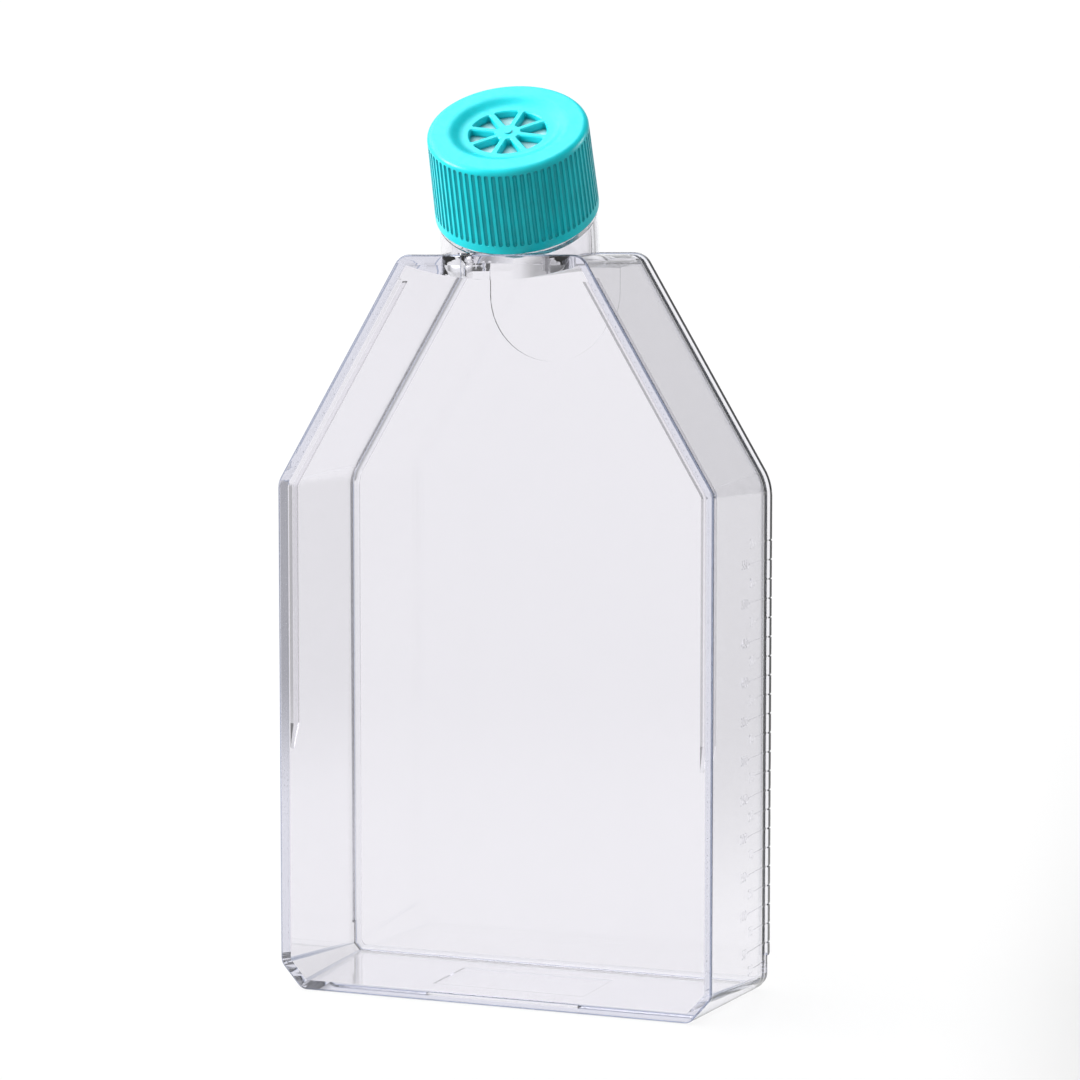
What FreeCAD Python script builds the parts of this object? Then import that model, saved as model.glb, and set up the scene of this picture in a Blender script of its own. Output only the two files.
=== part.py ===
"""Cell culture flask, 175 cm2 class: moulded body, welded front plate, vented screw cap, vent membrane.

Millimetres, +Z up. X is the width, Y the depth: the front plate faces -Y, the growth wall +Y.
The origin is the centre of the base, on the surface that the flask stands on.
"""
import FreeCAD, Part
import math
import os

from FreeCAD import Placement, Rotation, Vector

# Body outline, seen from the front
body_width = 113.0
body_depth = 43.0
side_height = 126.0
body_height = 181.6
top_width = 47.0
shoulder_bend_front = 5.0
shoulder_bend_back = 12.0
top_corner_radius = 4.2

# Bevels at the two ends of the base: full size at the front, smaller at the growth wall
bevel_width = 5.6
bevel_height = 6.4
bevel_back_ratio = 0.45
bevel_edge_radius = 3.0

# Walls of the body and the plate
wall = 2.2
growth_wall = 2.0
plate_thickness = 2.0
inner_edge_radius = 1.5
outer_edge_radius = 0.5
roof_sag = 3.8

# Rim that the growth wall rests on when the flask lies flat, and its bead
rim_step = 0.5
rim_width = 3.0
bead_depth = 2.2
bead_proud = 0.6
bead_start = 9.0

# Locating rib of the plate, just inside the side walls and the shoulders
rib_clearance = 0.3
rib_width = 1.0
rib_depth = 3.0
rib_start = 60.0
rib_taper = 6.0

# Shallow pouring channel in the growth wall, and the panel under the base
channel_width = 33.0
channel_bottom = 155.0
channel_depth = 0.5
panel_width = 40.0
panel_depth = 20.0
panel_recess = 0.4

# Graduation lines on the right side wall, and the notches that carry them across the bead
mark_count = 23
mark_start = 7.5
mark_pitch = 4.75
mark_height = 0.4
mark_proud = 0.15
mark_long = 14.0
mark_short = 9.5
notch_depth = 0.35

# Neck: an upright collar that bends forward and a little to the right, then the threaded finish
neck_tilt = 34.3
neck_turn = 12.0
bore_radius = 14.3
finish_wall = 2.0
finish_length = 19.0
collar_step = 3.0
collar_wall = 2.2
collar_bend_clearance = 3.3
collar_sink = 2.0
collar_overhang_gap = 0.3
collar_front_wall = 1.0
lip_radius = 0.6

# Screw thread, right-handed, one start
thread_pitch = 4.0
thread_depth = 0.9
thread_root_width = 1.7
thread_crest_width = 0.8
thread_sink = 0.3
neck_thread_start = 8.0
neck_thread_turns = 1.5
cap_thread_start = 8.0
cap_thread_turns = 1.0

# Screw cap, measured along the neck axis from the open rim of its skirt
cap_gap = 0.6
cap_height = 23.0
cap_wall = 2.3
cap_draft = 0.6
cap_edge_radius = 1.5
thread_clearance = 0.4
deck_thickness = 1.8
top_land = 4.5
dish_slope = 4.2
dish_depth = 1.4
groove_count = 72
groove_radius = 0.5
groove_depth = 0.55
groove_start = 2.5
groove_end = 21.0
seal_clearance = 0.3
seal_wall = 1.0
seal_length = 3.0
window_count = 8
window_inner_radius = 3.2
window_margin = 1.3
window_corner_radius = 0.3
window_bevel = 0.3
spoke_width = 1.6
hub_dot_radius = 0.9
hub_dot_height = 0.25

# Vent membrane
membrane_inset = 0.6
membrane_thickness = 0.3
membrane_clearance = 0.05

# Smallest bend left in an outline that is moved inward
least_bend_radius = 0.8

# Planes that the pieces share
front_y = -body_depth / 2
seam_y = front_y + plate_thickness
back_y = body_depth / 2
growth_outer_y = back_y - rim_step
growth_inner_y = growth_outer_y - growth_wall

# Neck and cap sizes that follow from the bore
finish_radius = bore_radius + finish_wall
collar_radius = finish_radius + collar_step
cap_bore_radius = finish_radius + thread_depth + thread_clearance
cap_rim_radius = cap_bore_radius + cap_wall
cap_top_radius = cap_rim_radius - cap_draft
dish_radius = cap_top_radius - top_land
dish_floor_radius = dish_radius - dish_slope
window_outer_radius = dish_floor_radius - window_margin
seal_outer = bore_radius - seal_clearance
seal_inner = seal_outer - seal_wall
deck_top = cap_height - dish_depth
deck_underside = deck_top - deck_thickness

# The neck's bend, and the frames of the finish and of the cap on it
collar_bend = collar_radius + collar_bend_clearance
tilt = math.radians(neck_tilt)
turn = math.radians(neck_turn)
lean = Vector(math.sin(turn), -math.cos(turn), 0)
hinge = Vector(math.cos(turn), math.sin(turn), 0)
collar_base = Vector(0, front_y + collar_radius, body_height - collar_sink)
neck_pivot = collar_base + lean * collar_bend
collar_end = neck_pivot - lean * collar_bend * math.cos(tilt) + Vector(0, 0, collar_bend * math.sin(tilt))
neck_frame = Placement(collar_end, Rotation(hinge, neck_tilt))
cap_frame = neck_frame.multiply(Placement(Vector(0, 0, cap_gap), Rotation()))


def unit(x, z):
    length = math.hypot(x, z)
    return x / length, z / length


def outline_corners(inset):
    """Sharp corners of the body outline moved inward by inset, as (x, z), anticlockwise from the front."""
    half = body_width / 2
    right = [(half, 0.0), (half, side_height), (top_width / 2, body_height)]
    corners = right + [(-x, z) for x, z in reversed(right)]
    moved = []
    for index, (x, z) in enumerate(corners):
        before = corners[index - 1]
        after = corners[(index + 1) % len(corners)]
        into = unit(x - before[0], z - before[1])
        out = unit(after[0] - x, after[1] - z)
        half_turn = math.acos(into[0] * out[0] + into[1] * out[1]) / 2
        across = unit(-into[1] - out[1], into[0] + out[0])
        reach = inset / math.cos(half_turn)
        moved.append((x + across[0] * reach, z + across[1] * reach))
    return moved


def shoulder_bend(y, inset):
    """Radius of the shoulder's bend at depth y, on the outline moved inward by inset."""
    along = (y - front_y) / body_depth
    outside = shoulder_bend_front + (shoulder_bend_back - shoulder_bend_front) * along
    return max(outside - inset, least_bend_radius)


def rounded(slab, corner, start_radius, end_radius):
    """Round the slab's long edge at one outline corner; the radius runs from its front to its back end."""
    edge = [e for e in slab.Edges
            if all(math.hypot(v.X - corner[0], v.Z - corner[1]) < 1e-6 for v in e.Vertexes)][0]
    if edge.valueAt(edge.FirstParameter).y > edge.valueAt(edge.LastParameter).y:
        start_radius, end_radius = end_radius, start_radius
    return slab.makeFillet(start_radius, end_radius, [edge])


def bevel_normal(side):
    """Outward normal of the base bevel at the left (-1) or right (+1) end."""
    along_front = Vector(side * bevel_width, 0, bevel_height)
    along_depth = Vector(side * bevel_width * (1 - bevel_back_ratio), body_depth, 0)
    normal = along_front.cross(along_depth)
    return normal * (-1 if normal.z > 0 else 1) / normal.Length


def outline_slab(inset, start_y, end_y):
    """The body outline between two planes: its bends rounded, then the base bevels cut and rounded."""
    corners = outline_corners(inset)
    front = [Vector(x, start_y, z) for x, z in corners]
    slab = Part.Face(Part.makePolygon(front + front[:1])).extrude(Vector(0, end_y - start_y, 0))
    top_bend = max(top_corner_radius - inset, least_bend_radius)
    for side_corner, top_corner in (corners[1:3], corners[4:2:-1]):
        slab = rounded(slab, side_corner, shoulder_bend(start_y, inset), shoulder_bend(end_y, inset))
        slab = rounded(slab, top_corner, top_bend, top_bend)
    radius = max(bevel_edge_radius - inset, least_bend_radius)
    for side in (-1, 1):
        normal = bevel_normal(side)
        foot = Vector(side * (body_width / 2 - bevel_width), front_y, 0) - normal * inset
        size = body_width
        beyond = Part.makeBox(size, size, size, Vector(-size / 2, -size / 2, 0))
        beyond.Placement = Placement(foot, Rotation(Vector(0, 0, 1), normal))
        slab = slab.cut(beyond)
        long_edges = [e for e in slab.Edges if abs(e.tangentAt(e.FirstParameter).y) > 0.9
                      and max(abs((v.Point - foot).dot(normal)) for v in e.Vertexes) < 1e-6]
        slab = slab.makeFillet(radius, long_edges)
    return slab


def box(low, high):
    size = [high[i] - low[i] for i in range(3)]
    return Part.makeBox(*size, Vector(*low))


def edges_in_plane(shape, y):
    """Edges of shape that lie wholly in the plane at y."""
    return [e for e in shape.Edges if abs(e.BoundBox.YMin - y) < 1e-6 and abs(e.BoundBox.YMax - y) < 1e-6]


def edges_at_height(shape, z):
    """Edges of shape that lie wholly in the plane at z."""
    return [e for e in shape.Edges if abs(e.BoundBox.ZMin - z) < 1e-6 and abs(e.BoundBox.ZMax - z) < 1e-6]


def ring(radius, height, start=0.0):
    return Part.makeCylinder(radius, height, Vector(0, 0, start))


def thread(radius, start, turns, outward):
    """One thread ridge round the Z axis, standing on a wall of the given radius."""
    side = 1 if outward else -1
    rise = turns * thread_pitch
    root = radius - side * thread_sink
    crest = radius + side * thread_depth
    helix = Part.makeHelix(thread_pitch, rise, radius)
    helix.translate(Vector(0, 0, start))
    section = Part.makePolygon([
        Vector(root, 0, start - thread_root_width / 2),
        Vector(crest, 0, start - thread_crest_width / 2),
        Vector(crest, 0, start + thread_crest_width / 2),
        Vector(root, 0, start + thread_root_width / 2),
        Vector(root, 0, start - thread_root_width / 2),
    ])
    return Part.Wire(helix.Edges).makePipeShell([section], True, True)


def collar(radius, height, front):
    """An upright stub of the given height, then a bend; below the plate's top it ends behind the front."""
    disc = Part.Face(Part.Wire(Part.makeCircle(radius, collar_base)))
    bend = disc.revolve(neck_pivot, hinge, neck_tilt)
    stub = Part.makeCylinder(radius, height, collar_base - Vector(0, 0, height))
    ahead = box((-body_width, 2 * front_y, 0), (body_width, front, body_height + collar_overhang_gap))
    return stub.fuse(bend).cut(ahead)


def collar_hollow():
    """Inside of the collar, up to a level ledge under the threaded finish."""
    hollow = collar(collar_radius - collar_wall, wall + roof_sag + 1, seam_y + collar_front_wall)
    ledge = ring(2 * collar_radius, collar_radius, -collar_wall)
    ledge.Placement = neck_frame
    return hollow.cut(ledge)


def pouring_channel():
    """Tongue-shaped recess that leads from the growth wall up to the neck."""
    half = channel_width / 2
    centre_z = channel_bottom + half
    top = body_height - wall
    arc = Part.Arc(
        Vector(-half, 0, centre_z),
        Vector(0, 0, channel_bottom),
        Vector(half, 0, centre_z),
    ).toShape()
    sides = Part.makePolygon([
        Vector(half, 0, centre_z),
        Vector(half, 0, top),
        Vector(-half, 0, top),
        Vector(-half, 0, centre_z),
    ])
    depth = growth_inner_y + channel_depth
    return Part.Face(Part.Wire([arc] + sides.Edges)).extrude(Vector(0, depth, 0))


def roof():
    """Thick roof of the chamber: it sags between the shoulders, towards the middle."""
    half = top_width / 2
    high = body_height - wall
    left = Vector(-half, seam_y, high)
    right = Vector(half, seam_y, high)
    arc = Part.Arc(left, Vector(0, seam_y, high - roof_sag), right).toShape()
    section = Part.Face(Part.Wire([arc, Part.makeLine(right, left)]))
    return section.extrude(Vector(0, growth_inner_y - seam_y, 0))


def graduation_lines():
    lines = []
    outside = body_width / 2
    end_y = back_y - bead_depth
    for index in range(mark_count):
        start_y = end_y - (mark_long if index % 2 else mark_short)
        low_z = mark_start + index * mark_pitch - mark_height / 2
        high_z = low_z + mark_height
        lines.append(box((outside - mark_proud, start_y, low_z), (outside + mark_proud, end_y, high_z)))
    return lines


def bead_notches():
    notches = []
    outside = body_width / 2 + bead_proud
    for index in range(mark_count):
        low_z = mark_start + index * mark_pitch - mark_height / 2
        notches.append(box(
            (outside - notch_depth, back_y - bead_depth - 1, low_z),
            (outside + 1, back_y + 1, low_z + mark_height),
        ))
    return notches


def flask_body():
    shell = outline_slab(0, seam_y, back_y)
    bead = outline_slab(-bead_proud, back_y - bead_depth, back_y)
    above = box((-body_width, front_y, bead_start), (body_width, back_y, body_height + bead_proud))
    shell = shell.fuse(bead.common(above)).removeSplitter()
    shell = shell.makeFillet(outer_edge_radius, edges_in_plane(shell, back_y))
    shell = shell.cut([outline_slab(rim_width, growth_outer_y, back_y + 1)] + bead_notches())

    chamber = outline_slab(wall, seam_y - 1, growth_inner_y)
    chamber = chamber.makeFillet(inner_edge_radius, edges_in_plane(chamber, growth_inner_y))
    chamber = chamber.cut(roof())
    panel = box((-panel_width / 2, -panel_depth / 2, -1), (panel_width / 2, panel_depth / 2, panel_recess))

    bore = ring(bore_radius, finish_length + 2 * collar_wall + 2, -cap_gap - collar_wall - 1)
    finish = ring(finish_radius, finish_length + cap_gap, -cap_gap).cut(bore)
    lip_edges = [e for e in finish.Edges if e.BoundBox.ZMin > finish_length - 1e-6]
    finish = finish.makeFillet(lip_radius, lip_edges)
    finish = finish.fuse(thread(finish_radius, neck_thread_start, neck_thread_turns, True))
    finish.Placement = cap_frame
    bore.Placement = cap_frame

    outside = shell.fuse([collar(collar_radius, wall, seam_y), finish] + graduation_lines())
    return outside.cut([chamber, collar_hollow(), bore, pouring_channel(), panel])


def front_plate():
    plate = outline_slab(0, front_y, seam_y)
    plate = plate.makeFillet(outer_edge_radius, edges_in_plane(plate, front_y))
    outer = wall + rib_clearance
    rib = outline_slab(outer, seam_y, seam_y + rib_depth).cut(
        outline_slab(outer + rib_width, seam_y - 1, seam_y + rib_depth + 1))
    rib_top = body_height - wall - top_corner_radius
    profile = Part.makePolygon([
        Vector(-body_width, seam_y, rib_start),
        Vector(-body_width, seam_y + rib_depth, rib_start + rib_taper),
        Vector(-body_width, seam_y + rib_depth, rib_top),
        Vector(-body_width, seam_y, rib_top),
        Vector(-body_width, seam_y, rib_start),
    ])
    reach = Part.Face(profile).extrude(Vector(2 * body_width, 0, 0))
    return plate.fuse(rib.common(reach))


def cap_window():
    """One vent window between two spokes, as a cutter through the deck."""
    half_angle = math.pi / window_count
    half_spoke = spoke_width / 2
    points = []
    for radius, side in ((window_inner_radius, -1), (window_outer_radius, -1),
                         (window_outer_radius, 1), (window_inner_radius, 1)):
        angle = half_angle + side * (half_angle - math.asin(half_spoke / radius))
        points.append(Vector(radius * math.cos(angle), radius * math.sin(angle), deck_underside - 1))
    inner_end, outer_start, outer_end, inner_start = points
    outer_middle = Vector(
        window_outer_radius * math.cos(half_angle),
        window_outer_radius * math.sin(half_angle),
        deck_underside - 1,
    )
    edges = [
        Part.makeLine(inner_end, outer_start),
        Part.Arc(outer_start, outer_middle, outer_end).toShape(),
        Part.makeLine(outer_end, inner_start),
        Part.makeLine(inner_start, inner_end),
    ]
    window = Part.Face(Part.Wire(edges)).extrude(Vector(0, 0, deck_thickness + dish_depth + 2))
    upright = [e for e in window.Edges if e.BoundBox.ZLength > deck_thickness]
    return window.makeFillet(window_corner_radius, upright)


def dish():
    """Cutter for the shallow dish in the cap's top: a flat floor with an S-shaped slope round it."""
    halfway = (dish_radius + dish_floor_radius) / 2
    slope = Part.BezierCurve()
    slope.setPoles([
        Vector(dish_floor_radius, 0, deck_top),
        Vector(halfway, 0, deck_top),
        Vector(halfway, 0, cap_height),
        Vector(dish_radius, 0, cap_height),
    ])
    closing = Part.makePolygon([
        Vector(dish_radius, 0, cap_height),
        Vector(dish_radius, 0, cap_height + 1),
        Vector(0, 0, cap_height + 1),
        Vector(0, 0, deck_top),
        Vector(dish_floor_radius, 0, deck_top),
    ])
    section = Part.Face(Part.Wire([slope.toShape()] + closing.Edges))
    return section.revolve(Vector(0, 0, 0), Vector(0, 0, 1), 360)


def turned(shape, count):
    """The shape repeated evenly round the Z axis."""
    copies = []
    for index in range(count):
        copy = shape.copy()
        copy.rotate(Vector(0, 0, 0), Vector(0, 0, 1), index * 360.0 / count)
        copies.append(copy)
    return copies


def grip_groove():
    """One round-ended groove along the cap's tapering side."""
    taper = (cap_rim_radius - cap_top_radius) / cap_height
    centre = groove_radius - groove_depth
    start = Vector(cap_rim_radius - taper * groove_start + centre, 0, groove_start)
    end = Vector(cap_rim_radius - taper * groove_end + centre, 0, groove_end)
    run = end - start
    barrel = Part.makeCylinder(groove_radius, run.Length, start, run)
    return barrel.fuse([Part.makeSphere(groove_radius, start), Part.makeSphere(groove_radius, end)])


def cap():
    outside = Part.makeCone(cap_rim_radius, cap_top_radius, cap_height)
    top_edge = [e for e in outside.Edges if e.BoundBox.ZMin > cap_height - 1e-6]
    outside = outside.makeFillet(cap_edge_radius, top_edge)
    outside = outside.cut(turned(grip_groove(), groove_count))
    shell = outside.cut([ring(cap_bore_radius, deck_underside), dish()])
    shell = shell.cut(turned(cap_window(), window_count))
    hub = Vector(0, 0, deck_top)
    window_rims = [e for e in edges_at_height(shell, deck_top)
                   if e.Vertexes[0].Point.distanceToPoint(hub) < window_outer_radius + 1e-3]
    shell = shell.makeChamfer(window_bevel, window_rims)

    seal = ring(seal_outer, seal_length, deck_underside - seal_length).cut(
        ring(seal_inner, seal_length + 1, deck_underside - seal_length - 1))
    dot = ring(hub_dot_radius, hub_dot_height, deck_top)
    ridge = thread(cap_bore_radius, cap_thread_start, cap_thread_turns, False)
    ridge.rotate(Vector(0, 0, 0), Vector(0, 0, 1), 180)
    whole = shell.fuse([seal, dot, ridge])
    whole.Placement = cap_frame
    return whole


def vent_membrane():
    low = deck_underside - membrane_clearance - membrane_thickness
    disc = ring(seal_inner - membrane_inset, membrane_thickness, low)
    disc.Placement = cap_frame
    return disc


os.makedirs("parts", exist_ok=True)
for build in (flask_body, front_plate, cap, vent_membrane):
    piece = build()
    assert piece.isValid() and len(piece.Solids) == 1, build.__name__
    piece.Solids[0].exportStep("parts/" + build.__name__ + ".step")
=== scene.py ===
"""Studio scene of the cell culture flask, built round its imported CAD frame. Metres, +Z up."""

import bmesh
import bpy
import math
import random
from mathutils import Matrix, Vector
from mathutils.kdtree import KDTree


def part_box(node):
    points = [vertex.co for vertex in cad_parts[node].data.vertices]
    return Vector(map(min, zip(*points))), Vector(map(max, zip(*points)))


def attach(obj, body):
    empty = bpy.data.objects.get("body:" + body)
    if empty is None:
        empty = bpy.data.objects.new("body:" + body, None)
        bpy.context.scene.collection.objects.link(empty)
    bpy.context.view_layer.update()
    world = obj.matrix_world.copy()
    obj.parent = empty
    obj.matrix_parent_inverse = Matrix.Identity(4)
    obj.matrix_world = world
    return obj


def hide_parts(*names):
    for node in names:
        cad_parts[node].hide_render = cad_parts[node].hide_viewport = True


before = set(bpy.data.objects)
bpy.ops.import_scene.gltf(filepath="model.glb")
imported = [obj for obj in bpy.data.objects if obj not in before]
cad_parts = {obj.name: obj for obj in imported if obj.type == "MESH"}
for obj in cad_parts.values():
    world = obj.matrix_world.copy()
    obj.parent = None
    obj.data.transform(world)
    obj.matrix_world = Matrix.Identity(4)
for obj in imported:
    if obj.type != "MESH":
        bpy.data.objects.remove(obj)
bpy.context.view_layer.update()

CAMERA_YAW = math.radians(21.9)
CAMERA_PITCH = math.radians(4.9)
CAMERA_DISTANCE = 0.822
CAMERA_LENS = 111.6
SENSOR_WIDTH = 36
NEAREST_SEEN = 0.01
DOUBLED_POINT = 1e-7
SAME_POINT = 2e-6
SHARP_TURN = math.radians(40)
SCALE_MARKS = 23
SCALE_START = 0.0075
SCALE_PITCH = 0.00475
LONG_MARK_Y = 0.0053
SHORT_MARK_Y = 0.0098
SEAM_Y = -0.0195
NUMBER_SIZE = 0.0034
NUMBER_PROUD = 0.00012
NUMBER_GAP = 0.0007
BUBBLE_SPREAD = 0.00005
# rows of bubbles: inset from the side wall's outside, spacing, radius
BUBBLE_ROWS = ((0.0008, 0.0019, 0.00011), (0.0016, 0.0014, 0.00014))
# the weld's stretches: up the side wall, then from above the bend to below the roof
WALL_WELD_Z = (0.012, 0.123)
SHOULDER_START_IN = 0.0017
SHOULDER_START_Z = 0.129
SHOULDER_END_X = 0.0265
SHOULDER_END_DROP = 0.005
SHOULDER_SLOPE = 0.5
# where an edge starts to take the painted shade and where it has all of it, in radians per metre
SLIGHT_BEND = 450
TIGHT_BEND = 2000
# painted shade: the blue grey that the clear plastic's colour turns to on its tightest rounded
# edges
EDGE_PAINTED_SHADE = (0.24, 0.29, 0.42)
CLEAR_TINTS = ((0.922, 0.914, 0.936), (0.930, 0.922, 0.944))
DEPTH_TINT = (0.0, 0.03, 0.35, 1)
DEPTH_DENSITY = 6
PLASTIC_IOR = 1.59
CAP_COLOURS = ((0.0, 0.59, 0.65), (0.001, 0.66, 0.72))
# painted shade by how hollow a place is: reach, shaded colour, open colour
GROOVE_SHADE = (0.0012, (0.35, 0.5, 0.53), (1, 1, 1))
# painted shade and painted turquoise bounce light for the white membrane in the cap's windows
WINDOW_PAINTED_SHADE_AND_BOUNCE = (0.004, (0.02, 0.38, 0.42), (0.70, 0.86, 0.86))
HOLLOW, OPEN = 0.25, 0.95
EDGE_ROUNDING = 0.00018
FLOOR_SIZE = 60.0
FLOOR_DROP = 0.0002
CAP_PLACE = Vector((0, 0, 0.2))
AHEAD = Vector((-math.sin(CAMERA_YAW), math.cos(CAMERA_YAW), 0))
RIGHT = Vector((math.cos(CAMERA_YAW), math.sin(CAMERA_YAW), 0))
# the floor's painted glow, and the painted shade where it loses glow past a line on the right and
# towards the front left corner
FLOOR_GLOW = 0.87
RIGHT_LOSS = 0.50
RIGHT_LINE = 0.10
RIGHT_LINE_TURN = -0.165
RIGHT_SPREAD = 0.12
RIGHT_SPREAD_GROWTH = 0.3
FRONT_LOSS = 0.22
FRONT_START, FRONT_END = 0.16, 0.6
FRONT_CORNER = -0.692 * RIGHT - 0.722 * AHEAD
AMBIENT_LEVEL = 0.20
LIGHT_TINT = (0.995, 1.0, 1.01)
SOFTBOX_SIZE = 0.4


# ---------------------------------------------------------------- node helpers
def linked(tree, socket, value):
    """Give an input socket a value, or link it to an output."""
    if isinstance(value, bpy.types.NodeSocket):
        tree.links.new(value, socket)
    else:
        socket.default_value = value


def computed(tree, operation, *values):
    """One Math node; its output."""
    node = tree.nodes.new("ShaderNodeMath")
    node.operation = operation
    for socket, value in zip(node.inputs, values):
        linked(tree, socket, value)
    return node.outputs[0]


def dot(tree, vector, direction):
    node = tree.nodes.new("ShaderNodeVectorMath")
    node.operation = "DOT_PRODUCT"
    tree.links.new(vector, node.inputs[0])
    node.inputs[1].default_value = direction
    return node.outputs["Value"]


def ramped(tree, value, low, high, at_low=0.0, at_high=1.0):
    """A smooth step of a value from at_low to at_high."""
    node = tree.nodes.new("ShaderNodeMapRange")
    node.interpolation_type = "SMOOTHSTEP"
    tree.links.new(value, node.inputs["Value"])
    node.inputs["From Min"].default_value = low
    node.inputs["From Max"].default_value = high
    node.inputs["To Min"].default_value = at_low
    node.inputs["To Max"].default_value = at_high
    return node.outputs[0]


def nodes_of(material):
    material.use_nodes = True
    tree = material.node_tree
    return tree, tree.nodes["Principled BSDF"]


def noise(tree, scale, detail):
    """Noise in object coordinates; its value."""
    node = tree.nodes.new("ShaderNodeTexNoise")
    node.inputs["Scale"].default_value = scale
    node.inputs["Detail"].default_value = detail
    tree.links.new(tree.nodes.new("ShaderNodeTexCoord").outputs["Object"], node.inputs["Vector"])
    return node.outputs["Fac"]


def bumped(tree, shader, height, distance):
    """A bump on the shader's normal; its node."""
    node = tree.nodes.new("ShaderNodeBump")
    node.inputs["Distance"].default_value = distance
    tree.links.new(height, node.inputs["Height"])
    tree.links.new(node.outputs["Normal"], shader.inputs["Normal"])
    return node


def blended(tree, mode, factor, colour_a, colour_b):
    """One colour Mix node; its result. A colour is a triple of numbers or an output."""
    node = tree.nodes.new("ShaderNodeMix")
    node.data_type = "RGBA"
    node.blend_type = mode
    linked(tree, node.inputs["Factor"], factor)
    for name, colour in (("A", colour_a), ("B", colour_b)):
        linked(tree, node.inputs[name], (*colour, 1) if isinstance(colour, tuple) else colour)
    return node.outputs["Result"]


def mixed(tree, factor, colour_a, colour_b):
    return blended(tree, "MIX", factor, colour_a, colour_b)


def hollows(tree, distance, deep, open_colour):
    """Painted shade: a colour that turns from deep to open_colour as the surface comes out of its
    hollows.
    """
    node = tree.nodes.new("ShaderNodeAmbientOcclusion")
    node.samples = 8
    node.inputs["Distance"].default_value = distance
    return mixed(tree, ramped(tree, node.outputs["AO"], HOLLOW, OPEN), deep, open_colour)


# ---------------------------------------------------------------- materials
def clear_plastic():
    """Clear polystyrene: faint waves in its gloss and tint, bluish in depth, and painted bluish
    shade on its tightly rounded edges.
    """
    material = bpy.data.materials.new("clear_plastic")
    tree, shader = nodes_of(material)
    waves = noise(tree, 60, 2)
    tint = mixed(tree, waves, *CLEAR_TINTS)
    bend = tree.nodes.new("ShaderNodeAttribute")
    bend.attribute_name = "bend"
    # painted shade: the base colour darkens to blue grey on the tightly rounded edges
    tree.links.new(mixed(tree, bend.outputs["Fac"], tint, EDGE_PAINTED_SHADE), shader.inputs["Base Color"])
    tree.links.new(ramped(tree, waves, 0.3, 0.7, 0.004, 0.016), shader.inputs["Roughness"])
    shader.inputs["Transmission Weight"].default_value = 1
    shader.inputs["IOR"].default_value = PLASTIC_IOR
    absorb = tree.nodes.new("ShaderNodeVolumeAbsorption")
    absorb.inputs["Color"].default_value = DEPTH_TINT
    absorb.inputs["Density"].default_value = DEPTH_DENSITY
    tree.links.new(absorb.outputs[0], tree.nodes["Material Output"].inputs["Volume"])
    return material


def cap_plastic():
    """Satin turquoise plastic: cloudy, with painted shade in the grooves, fine grained, soft at its
    edges.
    """
    material = bpy.data.materials.new("cap_plastic")
    tree, shader = nodes_of(material)
    clouds = noise(tree, 140, 3)
    colour = mixed(tree, ramped(tree, clouds, 0.35, 0.65), *CAP_COLOURS)
    # painted shade: the cap's colour darkens in its grooves and hollows
    shade = hollows(tree, *GROOVE_SHADE)
    tree.links.new(blended(tree, "MULTIPLY", 1, colour, shade), shader.inputs["Base Color"])
    gloss = ramped(tree, noise(tree, 500, 2), 0.3, 0.7, 0.28, 0.38)
    tree.links.new(gloss, shader.inputs["Roughness"])
    shader.inputs["Specular IOR Level"].default_value = 0.4
    grain = bumped(tree, shader, noise(tree, 2500, 2), 0.00002)
    rounding = tree.nodes.new("ShaderNodeBevel")
    rounding.samples = 4
    rounding.inputs["Radius"].default_value = EDGE_ROUNDING
    tree.links.new(rounding.outputs["Normal"], grain.inputs["Normal"])
    return material


def membrane():
    """Porous white membrane: a fibrous bump, painted turquoise bounce light from the cap over it,
    and painted shade near the window walls.
    """
    material = bpy.data.materials.new("membrane")
    tree, shader = nodes_of(material)
    # painted shade and painted bounce light: the white membrane is coloured turquoise, darker near
    # the window walls
    colour = hollows(tree, *WINDOW_PAINTED_SHADE_AND_BOUNCE)
    tree.links.new(colour, shader.inputs["Base Color"])
    shader.inputs["Roughness"].default_value = 0.8
    bumped(tree, shader, noise(tree, 4000, 4), 0.00004)
    return material


def assign(node, material):
    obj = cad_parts[node]
    obj.data.materials.clear()
    obj.data.materials.append(material)


# ---------------------------------------------------------------- meshes
def closed_copy(node):
    """A copy of a CAD node's mesh as a new object, with its doubled corner points joined."""
    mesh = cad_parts[node].data.copy()
    work = bmesh.new()
    work.from_mesh(mesh)
    bmesh.ops.remove_doubles(work, verts=work.verts, dist=DOUBLED_POINT)
    work.to_mesh(mesh)
    work.free()
    copy = bpy.data.objects.new(node + "_look", mesh)
    bpy.context.scene.collection.objects.link(copy)
    return copy


def applied(obj):
    """Replace the object's mesh by its evaluated one, with no modifiers left."""
    graph = bpy.context.evaluated_depsgraph_get()
    mesh = bpy.data.meshes.new_from_object(obj.evaluated_get(graph))
    obj.modifiers.clear()
    obj.data = mesh
    return obj


def take_normals(mesh, sources):
    """Give a mesh's corners the exact surface normals that the CAD meshes carry at the same points.

    A corner takes, of the normals found at its point, the one nearest its face's own; a corner with
    none near takes its face's.
    """
    corners = []
    for source in sources:
        points = source.vertices
        normals = source.corner_normals
        corners += [
            (points[loop.vertex_index].co.copy(), normals[loop.index].vector.copy())
            for loop in source.loops
        ]
    tree = KDTree(len(corners))
    for index, (point, normal) in enumerate(corners):
        tree.insert(point, index)
    tree.balance()
    nearby = [
        [corners[index][1] for point, index, distance in tree.find_range(vertex.co, SAME_POINT)]
        for vertex in mesh.vertices
    ]
    chosen = [None] * len(mesh.loops)
    for face in mesh.polygons:
        for corner in face.loop_indices:
            best, turn = face.normal, SHARP_TURN
            for normal in nearby[mesh.loops[corner].vertex_index]:
                if normal.angle(face.normal) < turn:
                    best, turn = normal, normal.angle(face.normal)
            chosen[corner] = best
    mesh.normals_split_custom_set(chosen)


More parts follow.
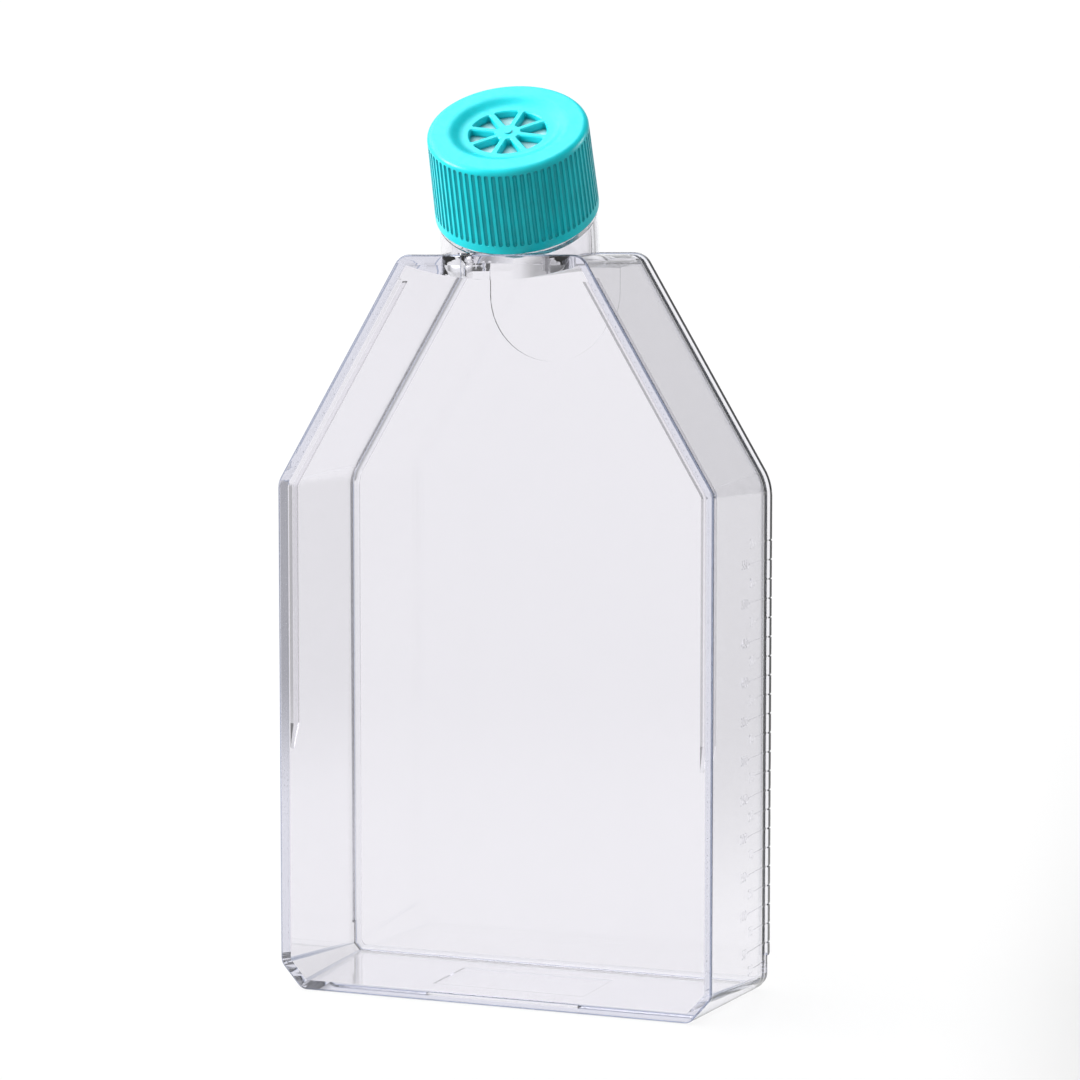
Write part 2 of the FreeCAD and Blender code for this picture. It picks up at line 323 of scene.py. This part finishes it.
def mark_bends(mesh):
    """A value that rises to 1 on the tightest rounded edges, where painted bluish shade darkens the
    plastic.
    """
    bends = []
    for face in mesh.polygons:
        normals = [mesh.corner_normals[corner].vector for corner in face.loop_indices]
        places = [mesh.vertices[vertex].co for vertex in face.vertices]
        sharpest = max(
            normals[k].angle(normals[k - 1]) / max((places[k] - places[k - 1]).length, SAME_POINT)
            for k in range(len(places))
        )
        bends.append(min(max((sharpest - SLIGHT_BEND) / (TIGHT_BEND - SLIGHT_BEND), 0.0), 1.0))
    mesh.attributes.new("bend", "FLOAT", "FACE").data.foreach_set("value", bends)


# ---------------------------------------------------------------- the flask
def scale_numbers():
    """Raised numbers of the volume scale, next to the graduation lines on the right side wall."""
    wall_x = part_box("front_plate")[1][0]
    work = bmesh.new()
    for index in range(SCALE_MARKS):
        long_mark = index % 2
        data = bpy.data.curves.new("number", "FONT")
        data.body = str(25 * (index + 1) if long_mark else (25, 75)[index // 2 % 2])
        data.size = NUMBER_SIZE
        data.extrude = NUMBER_PROUD
        data.align_x = "RIGHT"
        data.align_y = "CENTER"
        data.resolution_u = 3
        text = bpy.data.objects.new("number", data)
        bpy.context.scene.collection.objects.link(text)
        end_y = (LONG_MARK_Y if long_mark else SHORT_MARK_Y) - NUMBER_GAP
        place = Matrix.Translation((wall_x, end_y, SCALE_START + index * SCALE_PITCH))
        text.matrix_world = place @ Matrix(((0, 0, 1, 0), (1, 0, 0, 0), (0, 1, 0, 0), (0, 0, 0, 1)))
        bpy.context.view_layer.update()
        graph = bpy.context.evaluated_depsgraph_get()
        mesh = bpy.data.meshes.new_from_object(text.evaluated_get(graph))
        mesh.transform(text.matrix_world)
        work.from_mesh(mesh)
        bpy.data.objects.remove(text)
    bmesh.ops.remove_doubles(work, verts=work.verts, dist=DOUBLED_POINT)
    mesh = bpy.data.meshes.new("numbers")
    work.to_mesh(mesh)
    work.free()
    numbers = bpy.data.objects.new("numbers", mesh)
    bpy.context.scene.collection.objects.link(numbers)
    return numbers


def weld_line(start, end, spacing, radius, draw):
    """Places and sizes of the small bubbles along one straight stretch of the weld."""
    run = end - start
    bubbles = []
    for step in range(int(run.length / spacing)):
        along = (step + draw.uniform(0.2, 0.8)) * spacing / run.length
        jitter = Vector((draw.uniform(-1, 1), draw.uniform(-1, 1), 0)) * BUBBLE_SPREAD
        bubbles.append((start + run * along + jitter, radius * draw.uniform(0.5, 1.15)))
    return bubbles


def add_bubbles(flask):
    """Tiny air bubbles that the weld between the front plate and the walls has closed in."""
    draw = random.Random(7)
    half_width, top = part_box("front_plate")[1][0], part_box("front_plate")[1][2]
    bubbles = []
    for side in (-1, 1):
        for inset, spacing, radius in BUBBLE_ROWS:
            x = side * (half_width - inset)
            foot, knee = (Vector((x, SEAM_Y, z)) for z in WALL_WELD_Z)
            bubbles += weld_line(foot, knee, spacing, radius, draw)
            start_x = side * (half_width - inset - SHOULDER_START_IN)
            drop = SHOULDER_SLOPE * inset
            start = Vector((start_x, SEAM_Y, SHOULDER_START_Z - drop))
            end = Vector((side * (SHOULDER_END_X - inset), SEAM_Y, top - SHOULDER_END_DROP - drop))
            bubbles += weld_line(start, end, spacing, radius, draw)
    work = bmesh.new()
    work.from_mesh(flask.data)
    for place, radius in bubbles:
        spot = Matrix.Translation(place)
        made = bmesh.ops.create_icosphere(work, subdivisions=1, radius=radius, matrix=spot)
        faces = {face for vertex in made["verts"] for face in vertex.link_faces}
        for face in faces:
            face.smooth = True
        bmesh.ops.reverse_faces(work, faces=list(faces))
    work.to_mesh(flask.data)
    work.free()


def joined(flask, other):
    """Weld another closed piece to the flask."""
    weld = flask.modifiers.new("weld", "BOOLEAN")
    weld.operation = "UNION"
    weld.solver = "MANIFOLD"
    weld.object = other
    applied(flask)
    bpy.data.objects.remove(other)


def make_flask(material):
    """Body, plate and scale numbers as one clear piece, with bubbles along the weld."""
    flask = closed_copy("flask_body")
    joined(flask, closed_copy("front_plate"))
    joined(flask, scale_numbers())
    flask.data.polygons.foreach_set("use_smooth", [True] * len(flask.data.polygons))
    add_bubbles(flask)
    take_normals(flask.data, [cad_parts[node].data for node in ("flask_body", "front_plate")])
    mark_bends(flask.data)
    flask.name = "flask"
    flask.data.materials.clear()
    flask.data.materials.append(material)
    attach(flask, "flask")
    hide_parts("flask_body", "front_plate")


# ---------------------------------------------------------------- the studio
def make_camera():
    ahead = AHEAD * math.cos(CAMERA_PITCH) - Vector((0, 0, math.sin(CAMERA_PITCH)))
    target = RIGHT * 0.00397 + Vector((0, 0, 0.11176))
    data = bpy.data.cameras.new("camera")
    data.lens = CAMERA_LENS
    data.sensor_width = SENSOR_WIDTH
    data.clip_start = NEAREST_SEEN
    camera = bpy.data.objects.new("camera", data)
    camera.location = target - ahead * CAMERA_DISTANCE
    camera.rotation_euler = ahead.to_track_quat("-Z", "Y").to_euler()
    bpy.context.scene.collection.objects.link(camera)
    bpy.context.scene.camera = camera


def make_floor():
    mesh = bpy.data.meshes.new("floor")
    corners = [(x * FLOOR_SIZE, y * FLOOR_SIZE, 0) for x, y in ((-1, -1), (1, -1), (1, 1), (-1, 1))]
    mesh.from_pydata(corners, [], [(0, 1, 2, 3)])
    floor = bpy.data.objects.new("floor", mesh)
    floor.location.z = -FLOOR_DROP
    bpy.context.scene.collection.objects.link(floor)
    material = bpy.data.materials.new("floor")
    tree, shader = nodes_of(material)
    place = tree.nodes.new("ShaderNodeTexCoord").outputs["Object"]
    side = dot(tree, place, RIGHT)
    depth = dot(tree, place, AHEAD)
    # painted light: the floor glows white under and behind the flask, with painted shade where it
    # glows less to the right and in front
    across = computed(tree, "MULTIPLY_ADD", depth, RIGHT_LINE_TURN, side)
    behind = computed(tree, "MAXIMUM", depth, 0.0)
    spread = computed(tree, "MULTIPLY_ADD", behind, RIGHT_SPREAD_GROWTH, RIGHT_SPREAD)
    past_line = computed(tree, "SUBTRACT", across, RIGHT_LINE)
    past_right = computed(tree, "DIVIDE", past_line, spread)
    right_loss = ramped(tree, past_right, 0.0, 1.0, 0.0, RIGHT_LOSS)
    past_front = dot(tree, place, FRONT_CORNER)
    front_loss = ramped(tree, past_front, FRONT_START, FRONT_END, 0.0, FRONT_LOSS)
    loss = computed(tree, "MAXIMUM", right_loss, front_loss)
    glow = computed(tree, "SUBTRACT", FLOOR_GLOW, loss)
    tree.links.new(glow, shader.inputs["Emission Strength"])
    shader.inputs["Emission Color"].default_value = (1, 1, 1, 1)
    # a dim base colour, so that shadows on the glowing floor stay faint
    shader.inputs["Base Color"].default_value = (0.1, 0.1, 0.1, 1)
    shader.inputs["Roughness"].default_value = 0.8
    shader.inputs["Specular IOR Level"].default_value = 0.1
    material.cycles.emission_sampling = "NONE"
    floor.data.materials.append(material)
    floor.visible_diffuse = False


def lobe(tree, direction, towards, inner, outer, level):
    """Light from round one direction: full inside one angle, none past another (degrees)."""
    along = dot(tree, direction, towards.normalized())
    none, full = (math.cos(math.radians(angle)) for angle in (outer, inner))
    return ramped(tree, along, none, full, 0.0, level)


def make_light():
    world = bpy.data.worlds.new("studio")
    bpy.context.scene.world = world
    world.use_nodes = True
    tree = world.node_tree
    background = tree.nodes["Background"]
    direction = tree.nodes.new("ShaderNodeTexCoord").outputs["Generated"]
    up = Vector((0, 0, 1))
    lights = [
        lobe(tree, direction, AHEAD, 13, 42, 0.84),
        lobe(tree, direction, up * 0.85 - RIGHT * 0.45 + AHEAD * 0.1, 15, 50, 2.6),
        lobe(tree, direction, -RIGHT + up * 0.35, 20, 60, 0.8),
        lobe(tree, direction, -AHEAD + up * 0.2, 20, 80, 0.4),
    ]
    total = AMBIENT_LEVEL
    for light in lights:
        total = computed(tree, "ADD", light, total)
    colour = tree.nodes.new("ShaderNodeCombineColor")
    for channel, tint in zip(colour.inputs, LIGHT_TINT):
        linked(tree, channel, computed(tree, "MULTIPLY", total, tint))
    tree.links.new(colour.outputs[0], background.inputs["Color"])
    background.inputs["Strength"].default_value = 1.0
    bpy.context.scene.view_settings.view_transform = "Standard"


def make_softbox(name, place, energy):
    """A round softbox that lights the cap and membrane alone; the clear walls don't mirror it."""
    data = bpy.data.lights.new(name, "AREA")
    data.shape = "DISK"
    data.size = SOFTBOX_SIZE
    data.energy = energy
    box = bpy.data.objects.new(name, data)
    box.location = place
    box.rotation_euler = (CAP_PLACE - place).to_track_quat("-Z", "Y").to_euler()
    box.visible_transmission = False
    box.visible_camera = False
    bpy.context.scene.collection.objects.link(box)
    lit = bpy.data.collections.new(name + "_lights")
    for node in ("cap", "vent_membrane"):
        lit.objects.link(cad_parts[node])
    box.light_linking.receiver_collection = lit


# ---------------------------------------------------------------- the scene
make_camera()
make_floor()
make_light()
make_softbox("key", RIGHT * -1.0 - AHEAD * 0.2 + Vector((0, 0, 0.5)), 12)
make_softbox("fill", RIGHT * 0.9 + AHEAD * 0.25 + Vector((0, 0, 0.45)), 3)
make_flask(clear_plastic())
assign("cap", cap_plastic())
assign("vent_membrane", membrane())
cycles = bpy.context.scene.cycles
cycles.max_bounces = 64
cycles.transmission_bounces = 64
cycles.glossy_bounces = 16
cycles.transparent_max_bounces = 16
cycles.blur_glossy = 0
